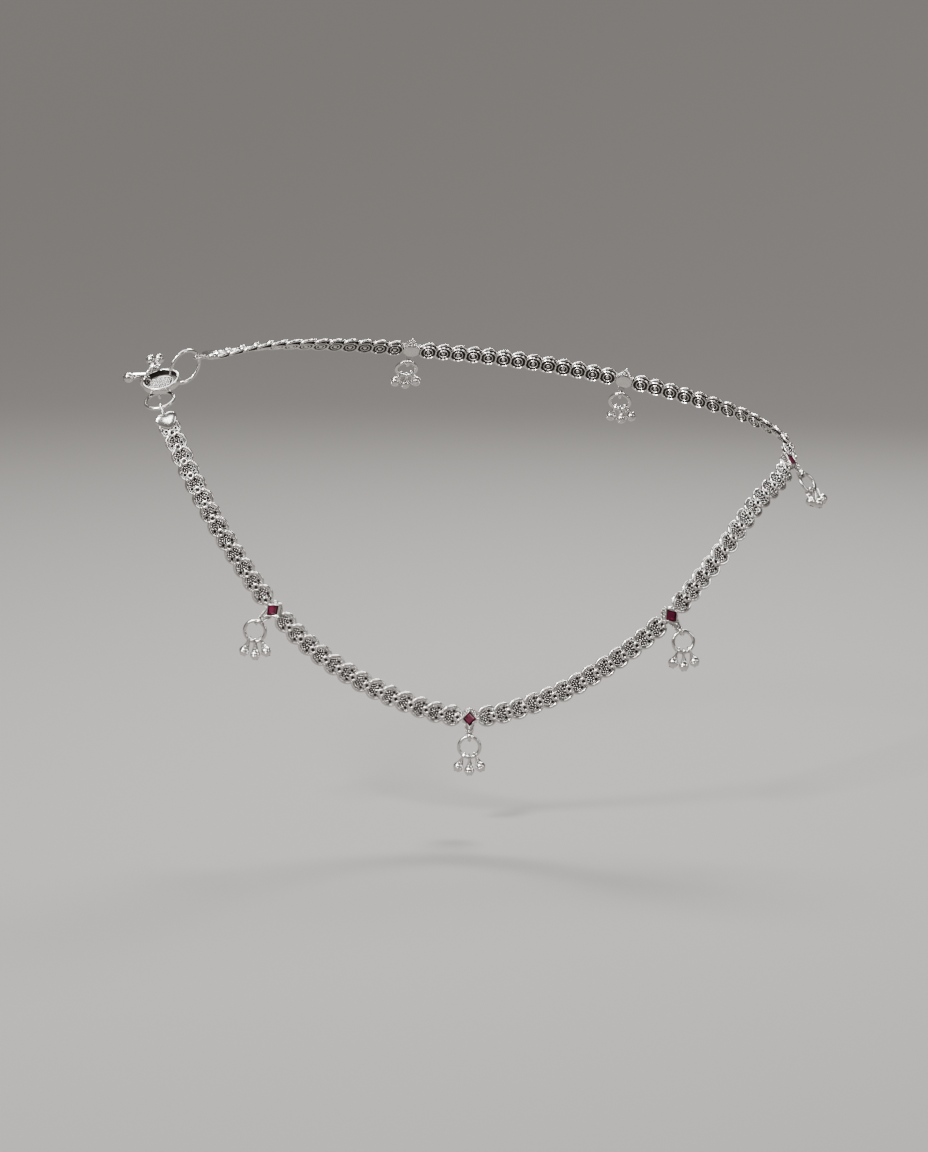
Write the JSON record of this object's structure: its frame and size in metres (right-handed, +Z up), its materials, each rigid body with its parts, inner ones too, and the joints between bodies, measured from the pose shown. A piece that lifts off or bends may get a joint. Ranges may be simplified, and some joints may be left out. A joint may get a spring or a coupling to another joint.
{
  "type": "payal anklet",
  "caption": "Chain anklet of overlapping round openwork links with lozenge stone settings, each over a ring of small bells, closed by a ring and a hook.",
  "frame": {"origin": "middle of the space inside the loop, where the ankle is", "axes": "+X along the loop's length from the clasp's end to the far bend, +Z up as it hangs, -Y towards the nearer run of chain"},
  "size_m": [0.1186, 0.0446, 0.069],
  "materials": {
    "silver": "polished silver with dark oxidised recesses",
    "ruby": "faceted, clear deep red stone"
  },
  "bodies": {
    "root": {"chain_1": "silver", "chain_2": "silver", "chain_3": "silver", "chain_4": "silver", "chain_5": "silver", "chain_6": "silver", "chain_7": "silver", "setting_1": "silver", "stone_1": "ruby", "drop_ring_1": "silver", "ghungroo_1_1": "silver", "ghungroo_1_2": "silver", "ghungroo_1_3": "silver", "setting_2": "silver", "stone_2": "ruby", "drop_ring_2": "silver", "ghungroo_2_1": "silver", "ghungroo_2_2": "silver", "ghungroo_2_3": "silver", "setting_3": "silver", "stone_3": "ruby", "drop_ring_3": "silver", "ghungroo_3_1": "silver", "ghungroo_3_2": "silver", "ghungroo_3_3": "silver", "setting_4": "silver", "stone_4": "ruby", "drop_ring_4": "silver", "ghungroo_4_1": "silver", "ghungroo_4_2": "silver", "ghungroo_4_3": "silver", "setting_5": "silver", "stone_5": "ruby", "drop_ring_5": "silver", "ghungroo_5_1": "silver", "ghungroo_5_2": "silver", "ghungroo_5_3": "silver", "setting_6": "silver", "stone_6": "ruby", "drop_ring_6": "silver", "ghungroo_6_1": "silver", "ghungroo_6_2": "silver", "ghungroo_6_3": "silver", "end_tag_left": "silver", "end_tag_right": "silver", "clasp_hook": "silver", "charm_ring": "silver", "clasp_ring": "silver", "closing_ring": "silver", "clasp_ghungroo_1": "silver", "clasp_ghungroo_2": "silver", "clasp_ghungroo_3": "silver"}
  },
  "joints": []
}
